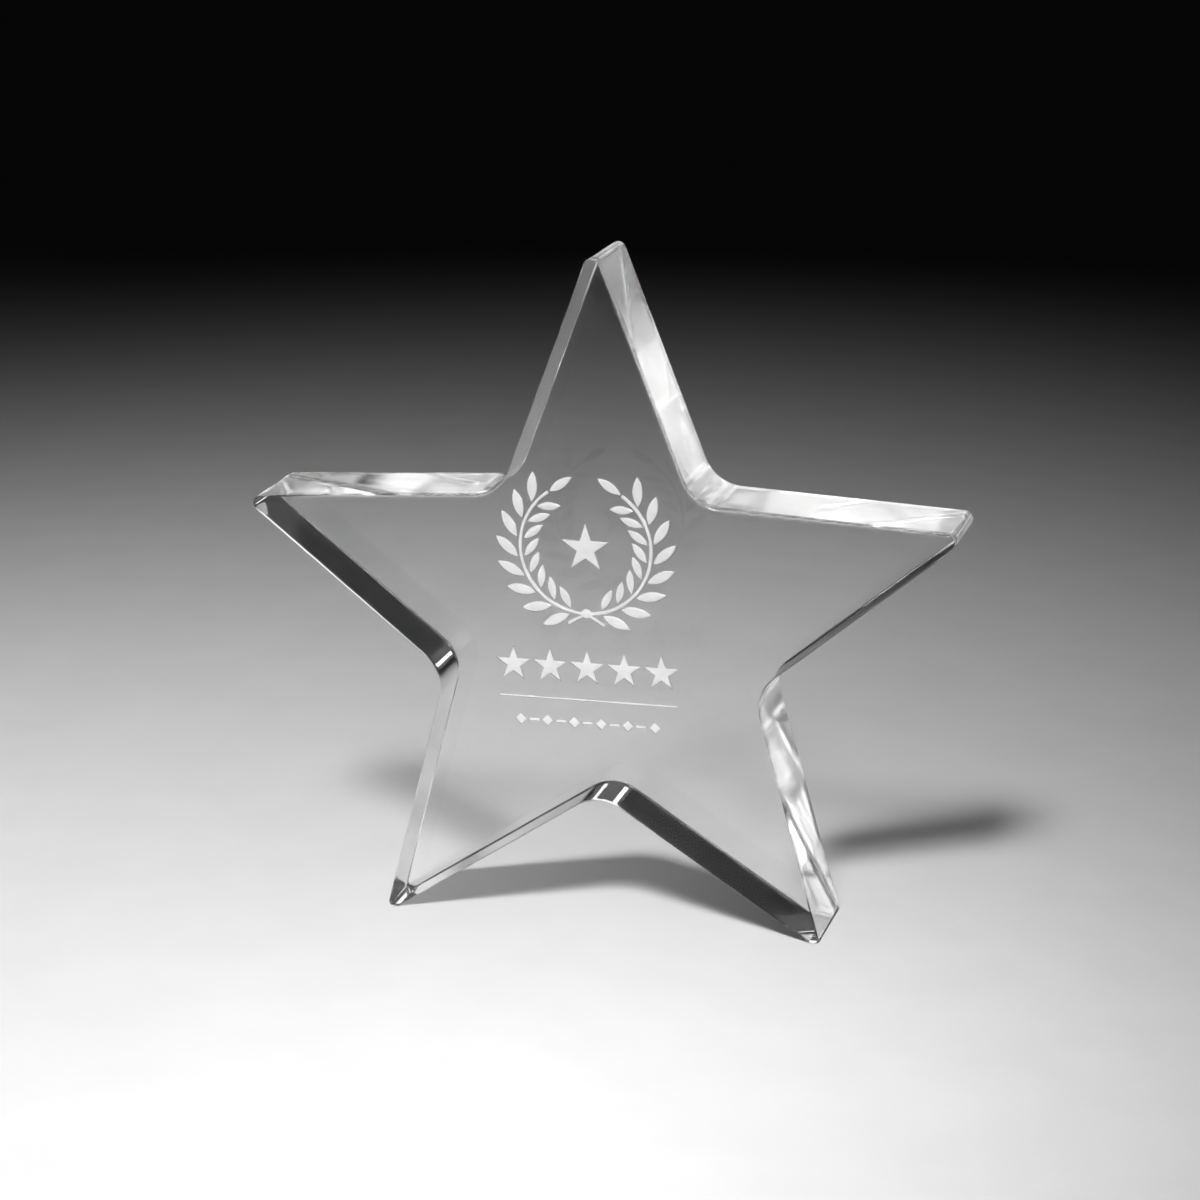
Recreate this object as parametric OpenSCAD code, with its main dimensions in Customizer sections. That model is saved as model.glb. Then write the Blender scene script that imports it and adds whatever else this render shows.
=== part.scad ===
// Free-standing five-pointed star award: one polished clear block that stands on its two lower points,
// with a wreath, a row of stars, a rule and a bead border engraved in the front face and filled white.
// X is the width, -Y faces the viewer, Z is up. The two feet rest on Z = 0.

/* [Star block] */
// Width over the left and right points, before the points are rounded
span = 150; // [147:1:200]
// Thickness of the block
thick = 20; // [15:1:30]
// Angle between the two edges of each point
tip_angle = 42; // [41:1:46]
// Rounding of the top, left and right points
tip_r = 1.7; // [1:0.1:2.5]
// Rounding of the two lower points
foot_r = 1.2; // [0.8:0.1:2]
// Rounding of the five inner corners
notch_r = 8.5; // [5:0.5:12]
// Height of the narrow flat under each foot, measured up the foot's rounding
foot_flat = 0.3; // [0.1:0.05:0.5]

/* [Engraving] */
// Depth of the engraving, which the white filling takes up
engraved = 0.4; // [0.2:0.05:1]
// Distance of the artwork's centre line from the star's, to the right
art_x = -2; // [-2.5:0.5:2.5]
// Height of the wreath's centre above the star's centre
wreath_z = 17.5; // [17:0.5:18]

/* [Wreath] */
// Radius of the ring that the two stems follow
stem_r = 13.5; // [13:0.5:14]
// Width of a stem
stem_w = 0.7; // [0.5:0.1:1]
// Length of each stem's free end, from the tie
tail_l = 4.4; // [3:0.2:4.4]
// Leaf stations on each stem, counted up from the tie
stations = 8; // [4:1:8]
// Angle round the ring, from its lowest point, of the first station
wreath_from = 14; // [14:1:16]
// Angle round the ring, from its lowest point, of the last leaf
wreath_to = 146; // [140:1:148]
// Length of an outer leaf
leaf_l = 6.2; // [5:0.2:6.4]
// Width of an outer leaf
leaf_w = 2.1; // [1.5:0.1:2.3]
// Angle between an outer leaf and its stem
leaf_angle = 38; // [36:1:44]
// Bare strip between a leaf and its stem
leaf_gap = 0.3; // [0.25:0.05:0.4]
// Radius over the points of the star inside the wreath
emblem_r = 5.2; // [4:0.2:5.6]

/* [Lower rows] */
// Radius over the points of a star in the row
row_r = 3.8; // [3:0.1:3.9]
// Distance between two stars in the row
row_pitch = 7.7; // [7.5:0.1:8]
// Distance of the row below the star block's centre
row_drop = 7.4; // [7:0.2:8]
// Length of the rule
rule_l = 37; // [30:1:40]
// Width of the rule
rule_w = 0.4; // [0.3:0.1:0.8]
// Distance of the rule below the star block's centre
rule_drop = 14.1; // [13.5:0.1:15]
// Distance of the bead border below the star block's centre
border_drop = 18.9; // [17.5:0.1:20]
// Distance between two beads in the border
bead_pitch = 5.6; // [5.4:0.1:6]
// Width over a bead's corners
bead_w = 2.4; // [1.6:0.1:2.6]
// Length of the dash between two beads
dash_l = 2.2; // [1.6:0.1:2.4]
// Width of the dash
dash_w = 0.6; // [0.4:0.1:0.8]

/* [Hidden] */
$fn = 96;

// The star block's sharp corners: points on a circle of outer_r, inner corners on one of inner_r
points = 5;
step = 360 / points;
half_tip = tip_angle / 2;
half_notch = half_tip + step / 2;
outer_r = span / 2 / cos(step / 4);
inner_r = outer_r * sin(half_tip) / sin(half_notch);

// Height of the block's centre: the lowest point of a foot's rounding, less the flat, is at Z = 0
foot_dip = 3 * step / 4;
foot_centre_r = outer_r - foot_r / sin(half_tip);
centre_z = foot_centre_r * sin(foot_dip) + foot_r - foot_flat;

// Share of an outer leaf's size that an inner leaf and the last leaf on a stem have
inner_share = 0.8;
last_share = 0.9;
// Extra turn of an inner leaf away from its stem, because the stem curves towards it
inner_turn = 10;
leaf_step = (wreath_to - wreath_from) / stations;
// Slope of the stems' free ends, and the radius of the tie that joins them
tail_slope = 30;
tie_r = 1;
// Small decorative stars have the proportions of a pentagram
pentagram = 0.382;
row_count = 5;
bead_count = 6;

function polar(r, a) = [r * cos(a), r * sin(a)];
function towards(a, b, d) = a + d * (b - a) / norm(b - a);

// Corner k of the star block, counted anticlockwise from the top: 2 and 3 are the feet
function tip_at(k) = 90 + k * step;
function notch_at(k) = tip_at(k + 0.5);
function tip(k) = polar(outer_r, tip_at(k));
function notch(k) = polar(inner_r, notch_at(k));
function tip_round(k) = k == 2 || k == 3 ? foot_r : tip_r;

// Where the roundings of point k and of the inner corner after it meet the straight edges
function corner_run(k) = [
    towards(tip(k), notch(k - 1), tip_round(k) / tan(half_tip)),
    towards(tip(k), notch(k), tip_round(k) / tan(half_tip)),
    towards(notch(k), tip(k), notch_r / tan(half_notch)),
    towards(notch(k), tip(k + 1), notch_r / tan(half_notch)),
];

// Outline of the block, seen from the front, with its centre at the origin
module block_outline() {
    difference() {
        union() {
            polygon([for (k = [0:points - 1]) each corner_run(k)]);
            for (k = [0:points - 1])
                translate(polar(outer_r - tip_round(k) / sin(half_tip), tip_at(k)))
                    circle(r = tip_round(k));
        }
        for (k = [0:points - 1])
            translate(polar(inner_r + notch_r / sin(half_notch), notch_at(k)))
                circle(r = notch_r);
        translate([-span, -centre_z - span])
            square([2 * span, span]);
    }
}

// Stands a flat outline up, from y1 to y2 in front of the block's mid-plane
module slab(y1, y2) {
    translate([0, -y1, centre_z])
        rotate([90, 0, 0])
            linear_extrude(y2 - y1)
                children();
}

// The white filling of an outline on the front face, flush with the face
module filling() {
    color("white")
        slab(thick / 2 - engraved, thick / 2)
            translate([art_x, 0])
                children();
}

// A leaf lying along +X from the origin, pointed at both ends
module leaf(l, w) {
    bow = (l * l + w * w) / (4 * w);
    intersection() {
        translate([l / 2, bow - w / 2])
            circle(r = bow);
        translate([l / 2, w / 2 - bow])
            circle(r = bow);
    }
}

// One stem's leaves, on the right for side = 1 and on the left for side = -1
module leaf_outline(side) {
    off = stem_w / 2 + leaf_gap;
    translate([0, wreath_z])
        for (i = [0:stations])
            rotate(side * (wreath_from + i * leaf_step) - 90)
                if (i == stations)
                    translate([stem_r, side * leaf_gap])
                        rotate(side * 90)
                            leaf(leaf_l * last_share, leaf_w * last_share);
                else {
                    translate([stem_r + off, 0])
                        rotate(side * (90 - leaf_angle))
                            leaf(leaf_l, leaf_w);
                    translate([stem_r - off, 0])
                        rotate(side * (90 + leaf_angle + inner_turn))
                            leaf(leaf_l * inner_share, leaf_w * inner_share);
                }
}

// Both stems: a ring that is open at the top, two free ends that part below it, and the tie
module stem_outline() {
    opening = polar(2 * stem_r, wreath_to - 90);
    translate([0, wreath_z]) {
        difference() {
            circle(r = stem_r + stem_w / 2);
            circle(r = stem_r - stem_w / 2);
            polygon([[0, 0], opening, [0, 2 * stem_r], [-opening[0], opening[1]]]);
        }
        translate([0, -stem_r]) {
            circle(r = tie_r);
            for (slope = [-tail_slope, tail_slope - 180])
                rotate(slope)
                    translate([0, -stem_w / 2])
                        square([tail_l, stem_w]);
        }
    }
}

module small_star(r) {
    polygon([for (k = [0:points - 1]) each [polar(r, tip_at(k)), polar(r * pentagram, notch_at(k))]]);
}

module emblem_outline() {
    translate([0, wreath_z])
        small_star(emblem_r);
}

module row_outline() {
    for (i = [0:row_count - 1])
        translate([(i - (row_count - 1) / 2) * row_pitch, -row_drop])
            small_star(row_r);
}

module rule_outline() {
    translate([0, -rule_drop])
        square([rule_l, rule_w], center = true);
}

module bead_outline() {
    for (i = [0:bead_count - 1])
        translate([(i - (bead_count - 1) / 2) * bead_pitch, -border_drop]) {
            rotate(45)
                square(bead_w / sqrt(2), center = true);
            if (i < bead_count - 1)
                translate([bead_pitch / 2, 0])
                    square([dash_l, dash_w], center = true);
        }
}

// Clear block, with the engraving cut into its front face
module star_block() {
    color([0.86, 0.88, 0.89, 0.5])
        difference() {
            slab(-thick / 2, thick / 2)
                block_outline();
            wreath_left_leaves();
            wreath_right_leaves();
            wreath_stems();
            emblem_star();
            title_stars();
            divider_rule();
            bead_border();
        }
}

// White filling of the wreath's leaves, one separate island for each leaf
module wreath_left_leaves() {
    filling()
        leaf_outline(-1);
}

module wreath_right_leaves() {
    filling()
        leaf_outline(1);
}

// White filling of the two stems and their tie
module wreath_stems() {
    filling()
        stem_outline();
}

// White filling of the star inside the wreath
module emblem_star() {
    filling()
        emblem_outline();
}

// White filling of the row of stars
module title_stars() {
    filling()
        row_outline();
}

// White filling of the thin rule
module divider_rule() {
    filling()
        rule_outline();
}

// White filling of the border of beads and dashes
module bead_border() {
    filling()
        bead_outline();
}

star_block();
wreath_left_leaves();
wreath_right_leaves();
wreath_stems();
emblem_star();
title_stars();
divider_rule();
bead_border();
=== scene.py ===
"""Looks of the star trophy: a clear star block whose engraving is filled white, on a pale floor.

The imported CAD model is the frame. The block and its fillings are rebuilt here as finer meshes in the
same places. The outline of the block follows from its width and a few roundings, and the outlines of
the fillings come from the CAD nodes. Lengths are in metres, MM turns millimetres into metres, and angles
are in degrees.
"""
import math
import random

import bmesh
import bpy
from mathutils import Matrix, Vector
from mathutils.geometry import delaunay_2d_cdt


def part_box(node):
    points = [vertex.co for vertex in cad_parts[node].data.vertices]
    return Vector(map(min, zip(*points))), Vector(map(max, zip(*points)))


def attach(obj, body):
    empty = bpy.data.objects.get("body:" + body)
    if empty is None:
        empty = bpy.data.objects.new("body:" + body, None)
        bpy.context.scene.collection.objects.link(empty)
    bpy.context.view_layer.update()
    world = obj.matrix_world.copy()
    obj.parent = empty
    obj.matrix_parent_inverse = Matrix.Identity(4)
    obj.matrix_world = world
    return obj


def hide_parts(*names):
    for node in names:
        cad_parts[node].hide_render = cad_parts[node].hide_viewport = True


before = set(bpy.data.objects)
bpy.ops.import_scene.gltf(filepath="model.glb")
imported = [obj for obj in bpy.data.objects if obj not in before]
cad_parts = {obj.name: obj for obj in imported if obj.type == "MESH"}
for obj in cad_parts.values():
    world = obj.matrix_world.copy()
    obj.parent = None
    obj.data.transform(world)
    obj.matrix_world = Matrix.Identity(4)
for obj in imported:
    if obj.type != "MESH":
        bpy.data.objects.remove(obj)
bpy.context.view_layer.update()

MM = 0.001
BODY = "root"
# Places of the walls' materials in the block's list. The first one, 0, is for all other faces
UPPER_WALL, UNDERSIDE, ARCH = 1, 2, 3

# ---------------------------------------------------------------- sizes of the star block
POINTS = 5
STEP = 360 / POINTS
HALF_TIP = 21
HALF_NOTCH = HALF_TIP + STEP / 2
WALL_TURN = 90 - HALF_TIP
TIP_R = 1.7 * MM
FOOT_R = 1.2 * MM
NOTCH_R = 8.5 * MM
# Points are counted anticlockwise from the top one, which is 0
FEET = (2, 3)
# Rounding of the edges between the walls and the two cast faces
EDGE_R = 0.3 * MM
# How finely the walls are cut up: steps in each rounding, rows through the thickness, and the length of a
# step along a straight
EDGE_STEPS = 4
TIP_STEPS = 20
NOTCH_STEPS = 26
WALL_ROWS = 8
WALL_PITCH = 1.2 * MM
# The walls that face down below this height belong to the arch between the feet
ARCH_TOP = 36 * MM

# Flame polishing leaves the cut walls slightly wavy, and only ever below the nominal surface
RIPPLE = 0.002 * MM
RIPPLE_SEED = 11
RIPPLE_WAVES = 9
RIPPLE_ALONG = (5 * MM, 22 * MM)
RIPPLE_ACROSS = (9 * MM, 40 * MM)

# ---------------------------------------------------------------- look of the acrylic
ACRYLIC_IOR = 1.49
# Share of a lamp's light that a surface keeps back: one number, or the shares at the block's left and right
FACE_SHADOW = 0.04
UPPER_SHADOW = 0.25
UNDERSIDE_SHADOW = (0.4, 0.92)
ARCH_SHADOW = (0.5, 1)
# How rough the walls are, and by what share that varies from place to place
UPPER_ROUGHNESS = 0.12
UNDERSIDE_ROUGHNESS = 0.015
ROUGHNESS_SWING = 0.3
# Height of the streaks that sawing leaves, and their cells per metre: fine through the thickness (Y)
STREAK = 0.013 * MM
STREAK_CELLS = (30, 450, 30)

# ---------------------------------------------------------------- sizes of the white fillings
# How far a filling reaches into the clear wall, so that no air gap is left between them
CONTACT = 0.01 * MM
# Corners of the CAD mesh are matched on a grid this fine
GRID = 0.1 * CONTACT
# Depth at which the filling leaves the clear wall, and depth at which its own rounded rim begins
MENISCUS = 0.22 * MM
RIM_DEPTH = 0.9 * MENISCUS
RIM_STEPS = 4
# Height of the grain in the enamel
GRAIN = 0.02 * MM
# Width of the rounded rim
RIM_WIDTH = {
    "wreath_left_leaves": 0.26 * MM,
    "wreath_right_leaves": 0.26 * MM,
    "wreath_stems": 0.18 * MM,
    "emblem_star": 0.3 * MM,
    "title_stars": 0.3 * MM,
    "divider_rule": 0.12 * MM,
    "bead_border": 0.17 * MM,
}

BLOCK_LOW, BLOCK_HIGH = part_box("star_block")
FRONT = BLOCK_LOW.y
BACK = BLOCK_HIGH.y
MIDDLE_Z = (BLOCK_LOW.z + BLOCK_HIGH.z) / 2
MIDDLE = Vector((0, 0, MIDDLE_Z))
# Depth of the engraving
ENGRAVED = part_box("title_stars")[1].y - FRONT

# ---------------------------------------------------------------- camera
# Focal length and width of the sensor, in millimetres
LENS = 105
SENSOR = 36
CAMERA_AZIMUTH = 164.17
CAMERA_ELEVATION = 16.08
CAMERA_DISTANCE = 0.6966
CAMERA_ROLL = -0.752
# The camera looks at a point just right of and above the middle of the front face
AIM = Vector((0.9 * MM, FRONT, MIDDLE_Z + 0.2 * MM))

# ---------------------------------------------------------------- lights
# A light's place is its azimuth, its elevation and its distance from the object's middle. The three key
# lamps share one place, high in front. Each has the length of its side, its radiance, its spread in degrees
# and the point that it faces, and their pools of light overlap on the floor.
KEY_PLACE = (180, 48, 1.6)
KEY_LAMPS = {
    "key_wide": (0.3, 3.94, 52.7, (-0.531, -0.479, 0)),
    "key_pool": (0.3, 2.53, 28.2, (-0.08, -0.1, 0)),
    "key_front": (0.1, 0.95, 10.4, (0.04, -0.11, 0)),
}
# The panels show only in gloss and in the acrylic. Each has its place, its width and height, and its
# radiance. The three behind the object whiten the upper walls, and get narrower upwards so that the rounded
# top of the arch doesn't mirror them. The two on the right whiten the right-hand arm and leg. The gap
# between the two in front keeps the undersides dark.
PANELS = {
    "behind_low": ((-9, 9.7, 2.0), (0.91, 0.325), 0.9),
    "behind_middle": ((-4.5, 16.8, 2.0), (0.57, 0.175), 0.65),
    "behind_high": ((1.7, 21.6, 2.0), (0.175, 0.154), 1.3),
    "right_rear": ((21.5, 4, 0.7), (0.09, 0.05), 1.2),
    "right_near": ((24.8, 21.7, 0.095), (0.045, 0.035), 1),
    "front_left": ((189, 22, 2.0), (1.18, 1.7), 1.6),
    "front_right": ((156, 22, 2.0), (0.42, 1.7), 1.6),
}

# ---------------------------------------------------------------- outline of the block
# The outline's corners lie on circles round the block's centre
TIP_CENTRE_R = ((BLOCK_HIGH.x - BLOCK_LOW.x) / 2 - TIP_R) / math.cos(math.radians(STEP / 4))
OUTER_R = TIP_CENTRE_R + TIP_R / math.sin(math.radians(HALF_TIP))
INNER_R = OUTER_R * math.sin(math.radians(HALF_TIP)) / math.sin(math.radians(HALF_NOTCH))
CENTRE_Z = BLOCK_HIGH.z - TIP_CENTRE_R - TIP_R


def polar(radius, degrees):
    angle = math.radians(degrees)
    return Vector((radius * math.cos(angle), radius * math.sin(angle)))


def arc(centre, radius, first, last, steps, inward=False):
    """Points round an arc, each with the outline's outward normal there."""
    made = []
    for i in range(steps + 1):
        normal = polar(1, first + (last - first) * i / steps)
        made.append((centre - radius * normal if inward else centre + radius * normal, normal))
    return made


def full_outline():
    """The outline round all five points, anticlockwise, with the feet still round."""
    arcs = []
    for k in range(POINTS):
        axis = 90 + k * STEP
        radius = FOOT_R if k in FEET else TIP_R
        tip_centre = polar(OUTER_R - radius / math.sin(math.radians(HALF_TIP)), axis)
        arcs.append(arc(tip_centre, radius, axis - WALL_TURN, axis + WALL_TURN, TIP_STEPS))
        notch_centre = polar(INNER_R + NOTCH_R / math.sin(math.radians(HALF_NOTCH)), axis + STEP / 2)
        turned = axis + STEP - WALL_TURN
        arcs.append(arc(notch_centre, NOTCH_R, axis + WALL_TURN, turned, NOTCH_STEPS, inward=True))
    outline = []
    for here, after in zip(arcs, arcs[1:] + arcs[:1]):
        outline += here
        start, normal = here[-1]
        run = after[0][0] - start
        count = round(run.length / WALL_PITCH)
        outline += [(start + run * i / count, normal) for i in range(1, count)]
    return outline


def with_flat_ends(outline):
    """The outline with a point added wherever it crosses the floor, where a foot's flat ends."""
    floor = -CENTRE_Z
    made = []
    for (p, n), (q, m) in zip(outline, outline[1:] + outline[:1]):
        made.append((p, n))
        if (p.y < floor) != (q.y < floor):
            share = (floor - p.y) / (q.y - p.y)
            made.append((p + (q - p) * share, (n + (m - n) * share).normalized()))
    return made


def ripple_field():
    """A smooth, repeatable function of the way along the outline and of depth, from 0 to 1."""
    chance = random.Random(RIPPLE_SEED)
    waves = []
    for _ in range(RIPPLE_WAVES):
        along = chance.uniform(*RIPPLE_ALONG)
        across = chance.choice((-1, 1)) * chance.uniform(*RIPPLE_ACROSS)
        waves.append((2 * math.pi / along, 2 * math.pi / across, chance.uniform(0, 2 * math.pi)))

    def height(u, v):
        total = sum(math.sin(a * u + b * v + c) for a, b, c in waves)
        return min(1, max(0, 0.5 + total / len(waves)))

    return height


# ---------------------------------------------------------------- outlines of the fillings
def front_loops(node):
    """The closed outlines, in the X-Z plane, of a filling's front face in the CAD model."""
    facing_front = -0.99
    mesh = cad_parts[node].data
    after = {}
    for face in mesh.polygons:
        if face.normal.y > facing_front or abs(face.center.y - FRONT) > CONTACT:
            continue
        keys = [tuple(round(c / GRID) for c in mesh.vertices[v].co.xz) for v in face.vertices]
        for a, b in zip(keys, keys[1:] + keys[:1]):
            if a in after.get(b, ()):
                after[b].remove(a)
            else:
                after.setdefault(a, []).append(b)
    loops = []
    while any(after.values()):
        start = next(a for a, bs in after.items() if bs)
        loop = [start]
        while True:
            following = after[loop[-1]].pop()
            if following == start:
                break
            loop.append(following)
        loops.append([Vector(k) * GRID for k in loop])
    return [straightened(loop) for loop in loops]


def straightened(loop):
    """The loop without points that lie on a straight line, turned anticlockwise."""
    least_turn = 1e-3
    area = sum(p.x * q.y - q.x * p.y for p, q in zip(loop, loop[1:] + loop[:1]))
    if area < 0:
        loop = loop[::-1]
    kept = []
    for before, p, after in zip(loop[-1:] + loop[:-1], loop, loop[1:] + loop[:1]):
        a, b = (p - before).normalized(), (after - p).normalized()
        if abs(a.x * b.y - a.y * b.x) > least_turn:
            kept.append(p)
    return kept


def inset(loop, distance):
    """The loop moved inwards by a distance, with mitred corners; a negative distance moves it out."""
    mitre_limit = 0.15
    moved = []
    for before, p, after in zip(loop[-1:] + loop[:-1], loop, loop[1:] + loop[:1]):
        a, b = (p - before).normalized(), (after - p).normalized()
        n, m = Vector((-a.y, a.x)), Vector((-b.y, b.x))
        moved.append(p + (n + m) / max(mitre_limit, 1 + n.dot(m)) * distance)
    return moved


# ---------------------------------------------------------------- mesh building
def ring(mesh, loop, y, lift=0):
    """New vertices along a loop that stands at depth y, raised by lift."""
    return [mesh.verts.new((p.x, y, p.y + lift)) for p in loop]


def bridge(mesh, first, second):
    """Quads between two rings of the same count, facing out of the outline if second lies behind first."""
    count = len(first)
    made = []
    for i in range(count):
        j = (i + 1) % count
        made.append(mesh.faces.new((first[i], first[j], second[j], second[i])))
    return made


def finished(name, mesh, materials):
    """The object for a mesh, shaded smooth except across edges that turn sharply."""
    sharp = math.radians(28)
    bmesh.ops.recalc_face_normals(mesh, faces=mesh.faces)
    for face in mesh.faces:
        face.smooth = True
    for edge in mesh.edges:
        if len(edge.link_faces) == 2 and edge.calc_face_angle(0) > sharp:
            edge.smooth = False
    data = bpy.data.meshes.new(name)
    mesh.to_mesh(data)
    mesh.free()
    for material in materials:
        data.materials.append(material)
    piece = bpy.data.objects.new(name, data)
    bpy.context.scene.collection.objects.link(piece)
    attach(piece, BODY)
    return piece


def flatten_rim(caps):
    """Keeps the shading of flat caps flat: the edges round them are sharp."""
    for cap in caps:
        for edge in cap.edges:
            if any(other not in caps for other in edge.link_faces):
                edge.smooth = False


def wall_rows():
    """The rows of the block's edge, from front to back: how far each is inset, and its depth."""
    turns = [math.radians(90 * i / EDGE_STEPS) for i in range(EDGE_STEPS + 1)]
    rounding = [(EDGE_R * (1 - math.sin(t)), EDGE_R * (1 - math.cos(t))) for t in turns]
    front_rows = [(inwards, FRONT + depth) for inwards, depth in rounding]
    back_rows = [(inwards, BACK - depth) for inwards, depth in reversed(rounding)]
    start, end = front_rows[-1][1], back_rows[0][1]
    middle = [(0, start + (end - start) * i / WALL_ROWS) for i in range(1, WALL_ROWS)]
    return front_rows + middle + back_rows


def engrave(mesh, rim, loops):
    """Fills the front face inside the rim, with a flat-bottomed recess at each loop."""
    hole_rims = [ring(mesh, loop, FRONT) for loop in loops]
    border = []
    outlines = []
    for closed in [rim] + hole_rims:
        outlines.append(list(range(len(border), len(border) + len(closed))))
        border += closed
    flat = [v.co.xz for v in border]
    triangles_inside = 1
    tolerance = 1e-9
    _, _, triangles, origins, _, inside = delaunay_2d_cdt(flat, [], outlines, triangles_inside, tolerance)
    caps = []
    for triangle, outlines_round in zip(triangles, inside):
        if outlines_round == [0]:
            caps.append(mesh.faces.new([border[origins[i][0]] for i in triangle]))
    for hole, loop in zip(hole_rims, loops):
        bottom = ring(mesh, loop, FRONT + ENGRAVED)
        bridge(mesh, hole, bottom)
        caps.append(mesh.faces.new(bottom))
    return caps


def wall_kind(point, normal):
    """Which material the wall has at a point of the outline."""
    if normal.y >= 0:
        return UPPER_WALL
    return ARCH if point.y < ARCH_TOP - CENTRE_Z else UNDERSIDE


def make_block(materials, loops):
    """The clear block: rounded outline, softened edges, slightly wavy walls and engraved recesses.

    The outline is moved in by each row's inset and by the ripple, and never goes below the floor.
    """
    outline = with_flat_ends(full_outline())
    height = ripple_field()
    mesh = bmesh.new()
    rings = []
    for inwards, y in wall_rows():
        u = 0
        loop = []
        for (p, n), (q, _) in zip(outline, outline[1:] + outline[:1]):
            moved = p - n * (inwards + RIPPLE * height(u, y))
            loop.append(Vector((moved.x, max(moved.y, inwards - CENTRE_Z))))
            u += (q - p).length
        rings.append(ring(mesh, loop, y, CENTRE_Z))
    kinds = [wall_kind(p, n) for p, n in outline]
    for first, second in zip(rings, rings[1:]):
        for face, kind in zip(bridge(mesh, first, second), kinds):
            face.material_index = kind
    caps = set(engrave(mesh, rings[0], loops))
    caps.add(mesh.faces.new(rings[-1]))
    flatten_rim(caps)
    return finished("clear_block", mesh, materials)


def make_filling(node, material):
    """A filling's islands: sides just inside the clear wall, and a flat face rounded down at its rim."""
    mesh = bmesh.new()
    profile = [(-CONTACT, ENGRAVED + CONTACT), (-CONTACT, MENISCUS), (0, RIM_DEPTH)]
    for i in range(1, RIM_STEPS + 1):
        turn = math.radians(90 * i / RIM_STEPS)
        profile.append((RIM_WIDTH[node] * (1 - math.cos(turn)), RIM_DEPTH * (1 - math.sin(turn))))
    for loop in front_loops(node):
        rings = [ring(mesh, inset(loop, inwards), FRONT + depth) for inwards, depth in reversed(profile)]
        for first, second in zip(rings, rings[1:]):
            bridge(mesh, first, second)
        mesh.faces.new(rings[0])
        mesh.faces.new(rings[-1])
    piece = finished(node + "_filling", mesh, [material])
    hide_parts(node)
    # The thin filling throws no shadow, and reflections leave it out
    piece.visible_shadow = False
    piece.visible_glossy = False


# ---------------------------------------------------------------- materials
def new_material(name):
    """A material, its node tree and its Principled shader."""
    material = bpy.data.materials.new(name)
    material.use_nodes = True
    nodes = material.node_tree.nodes
    nodes.clear()
    output = nodes.new("ShaderNodeOutputMaterial")
    shader = nodes.new("ShaderNodeBsdfPrincipled")
    material.node_tree.links.new(shader.outputs["BSDF"], output.inputs["Surface"])
    return material, material.node_tree, shader


def let_lamps_through(tree, shader, shadow):
    """Lets lamps shine through the clear material, which keeps back a share of their light."""
    nodes, links = tree.nodes, tree.links
    output = next(n for n in nodes if n.bl_idname == "ShaderNodeOutputMaterial")
    path = nodes.new("ShaderNodeLightPath")
    clear = nodes.new("ShaderNodeBsdfTransparent")
    mix = nodes.new("ShaderNodeMixShader")
    links.new(path.outputs["Is Shadow Ray"], mix.inputs["Fac"])
    links.new(shader.outputs["BSDF"], mix.inputs[1])
    links.new(clear.outputs["BSDF"], mix.inputs[2])
    links.new(mix.outputs["Shader"], output.inputs["Surface"])
    if isinstance(shadow, tuple):
        grade_from_left_to_right(tree, clear.inputs["Color"], shadow)
    else:
        clear.inputs["Color"].default_value = (1 - shadow, 1 - shadow, 1 - shadow, 1)


def grade_from_left_to_right(tree, socket, shadow):
    """Sets a socket to the share let through, which changes evenly from the block's left to its right."""
    nodes, links = tree.nodes, tree.links
    surface = nodes.new("ShaderNodeNewGeometry")
    place = nodes.new("ShaderNodeSeparateXYZ")
    passed = nodes.new("ShaderNodeMapRange")
    passed.inputs["From Min"].default_value = BLOCK_LOW.x
    passed.inputs["From Max"].default_value = BLOCK_HIGH.x
    passed.inputs["To Min"].default_value = 1 - shadow[0]
    passed.inputs["To Max"].default_value = 1 - shadow[1]
    links.new(surface.outputs["Position"], place.inputs["Vector"])
    links.new(place.outputs["X"], passed.inputs["Value"])
    links.new(passed.outputs["Result"], socket)


def acrylic_base(name):
    """A perfectly clear and smooth acrylic, for the faces and the walls to start from."""
    material, tree, shader = new_material(name)
    shader.inputs["Base Color"].default_value = (1, 1, 1, 1)
    shader.inputs["Roughness"].default_value = 0
    shader.inputs["IOR"].default_value = ACRYLIC_IOR
    shader.inputs["Transmission Weight"].default_value = 1
    return material, tree, shader


def cast_faces():
    """The sheet's two cast faces, and the insides of the recesses."""
    material, tree, shader = acrylic_base("clear_acrylic_face")
    let_lamps_through(tree, shader, FACE_SHADOW)
    return material


def polished_wall(name, roughness, shadow):
    """A sawn and flame-polished wall: faint streaks run along it, so it is a little less clear."""
    material, tree, shader = acrylic_base(name)
    nodes, links = tree.nodes, tree.links
    place = nodes.new("ShaderNodeTexCoord")
    stretch = nodes.new("ShaderNodeMapping")
    stretch.inputs["Scale"].default_value = STREAK_CELLS
    noise = nodes.new("ShaderNodeTexNoise")
    noise.inputs["Scale"].default_value = 1
    noise.inputs["Detail"].default_value = 3
    span = nodes.new("ShaderNodeMapRange")
    span.inputs["To Min"].default_value = roughness * (1 - ROUGHNESS_SWING)
    span.inputs["To Max"].default_value = roughness * (1 + ROUGHNESS_SWING)
    bump = nodes.new("ShaderNodeBump")
    bump.inputs["Strength"].default_value = 1
    bump.inputs["Distance"].default_value = STREAK
    links.new(place.outputs["Object"], stretch.inputs["Vector"])
    links.new(stretch.outputs["Vector"], noise.inputs["Vector"])
    links.new(noise.outputs["Fac"], span.inputs["Value"])
    links.new(span.outputs["Result"], shader.inputs["Roughness"])
    links.new(noise.outputs["Fac"], bump.inputs["Height"])
    links.new(bump.outputs["Normal"], shader.inputs["Normal"])
    let_lamps_through(tree, shader, shadow)
    return material


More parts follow.
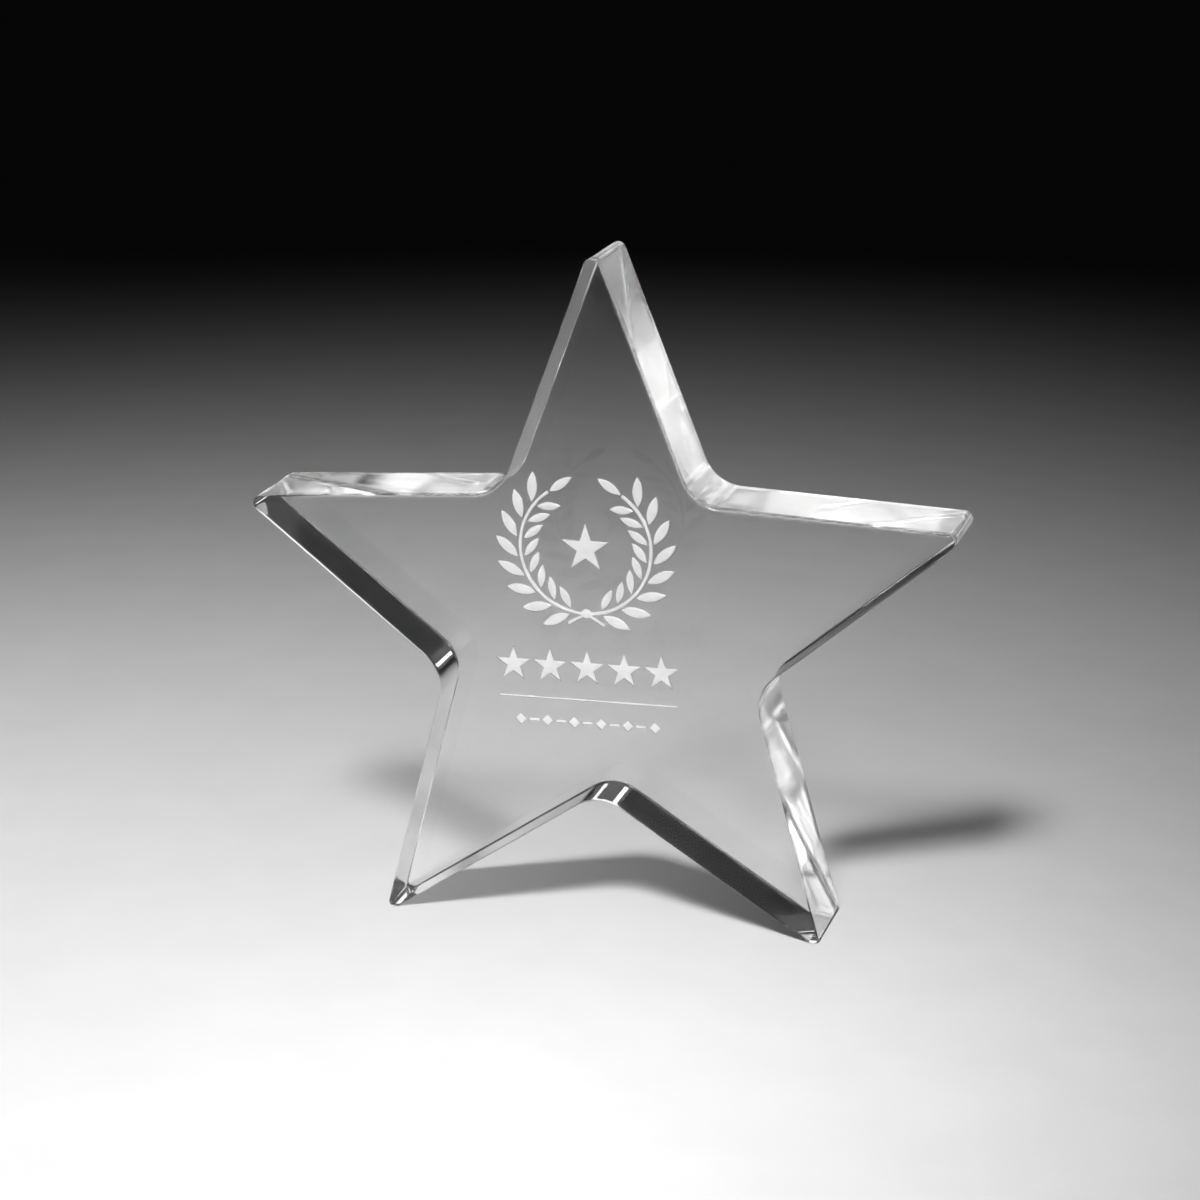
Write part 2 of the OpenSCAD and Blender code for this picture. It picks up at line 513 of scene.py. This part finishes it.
def block_materials():
    """The block's materials, in the order of their indices."""
    return [
        cast_faces(),
        polished_wall("clear_acrylic_upper_wall", UPPER_ROUGHNESS, UPPER_SHADOW),
        polished_wall("clear_acrylic_underside", UNDERSIDE_ROUGHNESS, UNDERSIDE_SHADOW),
        polished_wall("clear_acrylic_arch", UNDERSIDE_ROUGHNESS, ARCH_SHADOW),
    ]


def add_noise(tree, scale, detail):
    """A noise texture over the object's own coordinates, with scale in cells per metre."""
    place = tree.nodes.new("ShaderNodeTexCoord")
    noise = tree.nodes.new("ShaderNodeTexNoise")
    noise.inputs["Scale"].default_value = scale
    noise.inputs["Detail"].default_value = detail
    tree.links.new(place.outputs["Object"], noise.inputs["Vector"])
    return noise


def tint_by(tree, shader, noise, low, high):
    """Varies the base colour between two greys with the noise."""
    shade = tree.nodes.new("ShaderNodeMapRange")
    shade.inputs["From Min"].default_value = 0.3
    shade.inputs["From Max"].default_value = 0.7
    shade.inputs["To Min"].default_value = low
    shade.inputs["To Max"].default_value = high
    tree.links.new(noise.outputs["Fac"], shade.inputs["Value"])
    tree.links.new(shade.outputs["Result"], shader.inputs["Base Color"])


def white_enamel():
    """Satin white filling: wiped flush by hand, so it is a little uneven, with a fine grain."""
    material, tree, shader = new_material("white_enamel")
    shader.inputs["Roughness"].default_value = 0.45
    tint_by(tree, shader, add_noise(tree, scale=400, detail=3), low=0.66, high=0.74)
    grain = add_noise(tree, scale=5000, detail=2)
    bump = tree.nodes.new("ShaderNodeBump")
    bump.inputs["Strength"].default_value = 0.6
    bump.inputs["Distance"].default_value = GRAIN
    tree.links.new(grain.outputs["Fac"], bump.inputs["Height"])
    tree.links.new(bump.outputs["Normal"], shader.inputs["Normal"])
    return material


def pale_floor():
    """Matt pale card, very slightly mottled."""
    material, tree, shader = new_material("pale_floor")
    shader.inputs["Roughness"].default_value = 0.6
    shader.inputs["Specular IOR Level"].default_value = 0
    tint_by(tree, shader, add_noise(tree, scale=45, detail=4), low=0.785, high=0.815)
    return material


# ---------------------------------------------------------------- staging
def direction(azimuth, elevation):
    """Unit vector from the object: azimuth 0 is +Y and 90 is +X, elevation is above the horizon."""
    a, e = math.radians(azimuth), math.radians(elevation)
    return Vector((math.sin(a) * math.cos(e), math.cos(a) * math.cos(e), math.sin(e)))


def looking(place, way):
    """The transform of a camera or light at a place that looks along a direction, its top upwards."""
    return Matrix.Translation(place) @ way.to_track_quat("-Z", "Y").to_matrix().to_4x4()


def make_camera():
    data = bpy.data.cameras.new("camera")
    data.lens = LENS
    data.sensor_width = SENSOR
    data.clip_start = 0.01
    data.clip_end = 20
    camera = bpy.data.objects.new("camera", data)
    bpy.context.scene.collection.objects.link(camera)
    away = direction(CAMERA_AZIMUTH, CAMERA_ELEVATION)
    roll = Matrix.Rotation(math.radians(CAMERA_ROLL), 4, "Z")
    camera.matrix_world = looking(AIM + away * CAMERA_DISTANCE, -away) @ roll
    bpy.context.scene.camera = camera


def make_light(name, polar_place, target, size, radiance, spread=180):
    """A rectangular light that the camera doesn't see."""
    data = bpy.data.lights.new(name, "AREA")
    data.shape = "RECTANGLE"
    data.size, data.size_y = size
    # Blender divides a light's power by four times its area
    data.energy = radiance * 4 * size[0] * size[1]
    data.spread = math.radians(spread)
    light = bpy.data.objects.new(name, data)
    bpy.context.scene.collection.objects.link(light)
    azimuth, elevation, distance = polar_place
    place = MIDDLE + direction(azimuth, elevation) * distance
    light.matrix_world = looking(place, target - place)
    light.visible_camera = False
    return light


def make_lights():
    for name, (side, radiance, spread, target) in KEY_LAMPS.items():
        make_light(name, KEY_PLACE, Vector(target), (side, side), radiance, spread)
    for name, (place, size, radiance) in PANELS.items():
        panel = make_light(name, place, MIDDLE, size, radiance)
        panel.visible_diffuse = False


def make_floor(material):
    half = 3
    square = ((-half, -half), (half, -half), (half, half), (-half, half))
    mesh = bmesh.new()
    mesh.faces.new([mesh.verts.new((x, y, BLOCK_LOW.z)) for x, y in square])
    data = bpy.data.meshes.new("floor")
    mesh.to_mesh(data)
    mesh.free()
    data.materials.append(material)
    floor = bpy.data.objects.new("floor", data)
    bpy.context.scene.collection.objects.link(floor)


def make_world():
    world = bpy.data.worlds.new("world")
    world.use_nodes = True
    background = world.node_tree.nodes["Background"]
    background.inputs["Color"].default_value = (1, 1, 1, 1)
    background.inputs["Strength"].default_value = 0.002
    bpy.context.scene.world = world


def set_up_render():
    """Enough bounces for light that runs about inside the block, and a clean picture of it."""
    bounces = 24
    scene = bpy.context.scene
    scene.view_settings.view_transform = "Standard"
    scene.cycles.max_bounces = bounces
    scene.cycles.transmission_bounces = bounces
    scene.cycles.glossy_bounces = bounces
    scene.cycles.diffuse_bounces = 3
    scene.cycles.use_denoising = True
    scene.cycles.denoising_prefilter = "ACCURATE"
    # With a light tree, the floor that is seen through the acrylic comes out too dark
    scene.cycles.use_light_tree = False
    scene.cycles.caustics_refractive = False
    scene.cycles.caustics_reflective = False


def main():
    make_camera()
    loops = [loop for node in RIM_WIDTH for loop in front_loops(node)]
    block = make_block(block_materials(), loops)
    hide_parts("star_block")
    enamel = white_enamel()
    for node in RIM_WIDTH:
        make_filling(node, enamel)
    make_floor(pale_floor())
    make_lights()
    make_world()
    set_up_render()


main()
